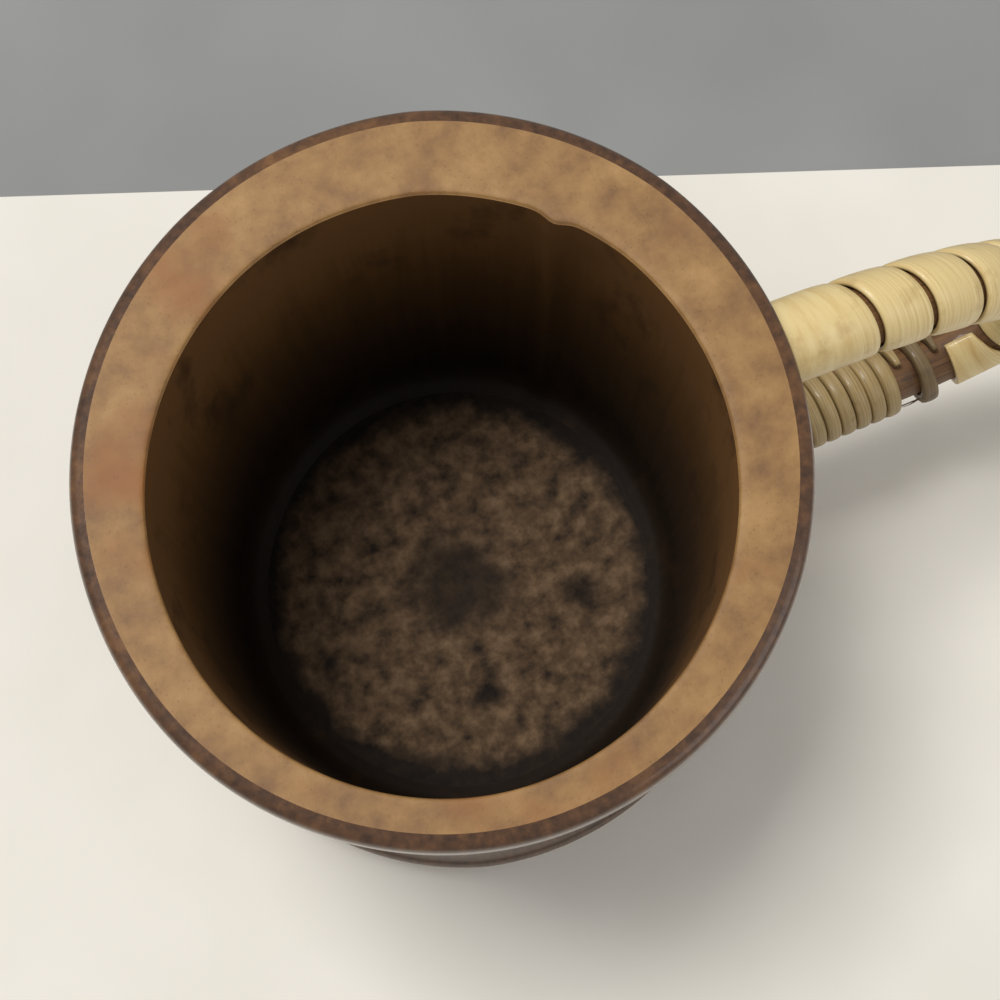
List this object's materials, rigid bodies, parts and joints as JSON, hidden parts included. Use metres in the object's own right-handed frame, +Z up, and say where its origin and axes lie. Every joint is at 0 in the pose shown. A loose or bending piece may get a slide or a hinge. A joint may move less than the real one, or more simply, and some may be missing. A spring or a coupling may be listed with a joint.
{
  "type": "mug",
  "caption": "Mug made from a thick length of bamboo culm with its natural node wall as the floor, and a bent cane loop handle wound with strips of cane",
  "frame": {"origin": "bottom centre of the whole object's box, on the plane that the foot stands on", "axes": "+Z up along the culm; +X from the culm towards the handle; +Y completes the right hand"},
  "size_m": [0.149, 0.0956, 0.084],
  "materials": {
    "culm": "sanded rim, dark lacquered outside",
    "cane_core": "bare cane",
    "wide_cane": "split cane, skin side out",
    "tie_cane": "split cane, darkened",
    "narrow_cane": "thin split cane"
  },
  "bodies": {
    "root": {"culm_body": "culm", "handle_core": "cane_core", "wide_cane_wrap": "wide_cane", "wrap_tie": "tie_cane", "narrow_cane_binding": "narrow_cane"}
  },
  "joints": []
}
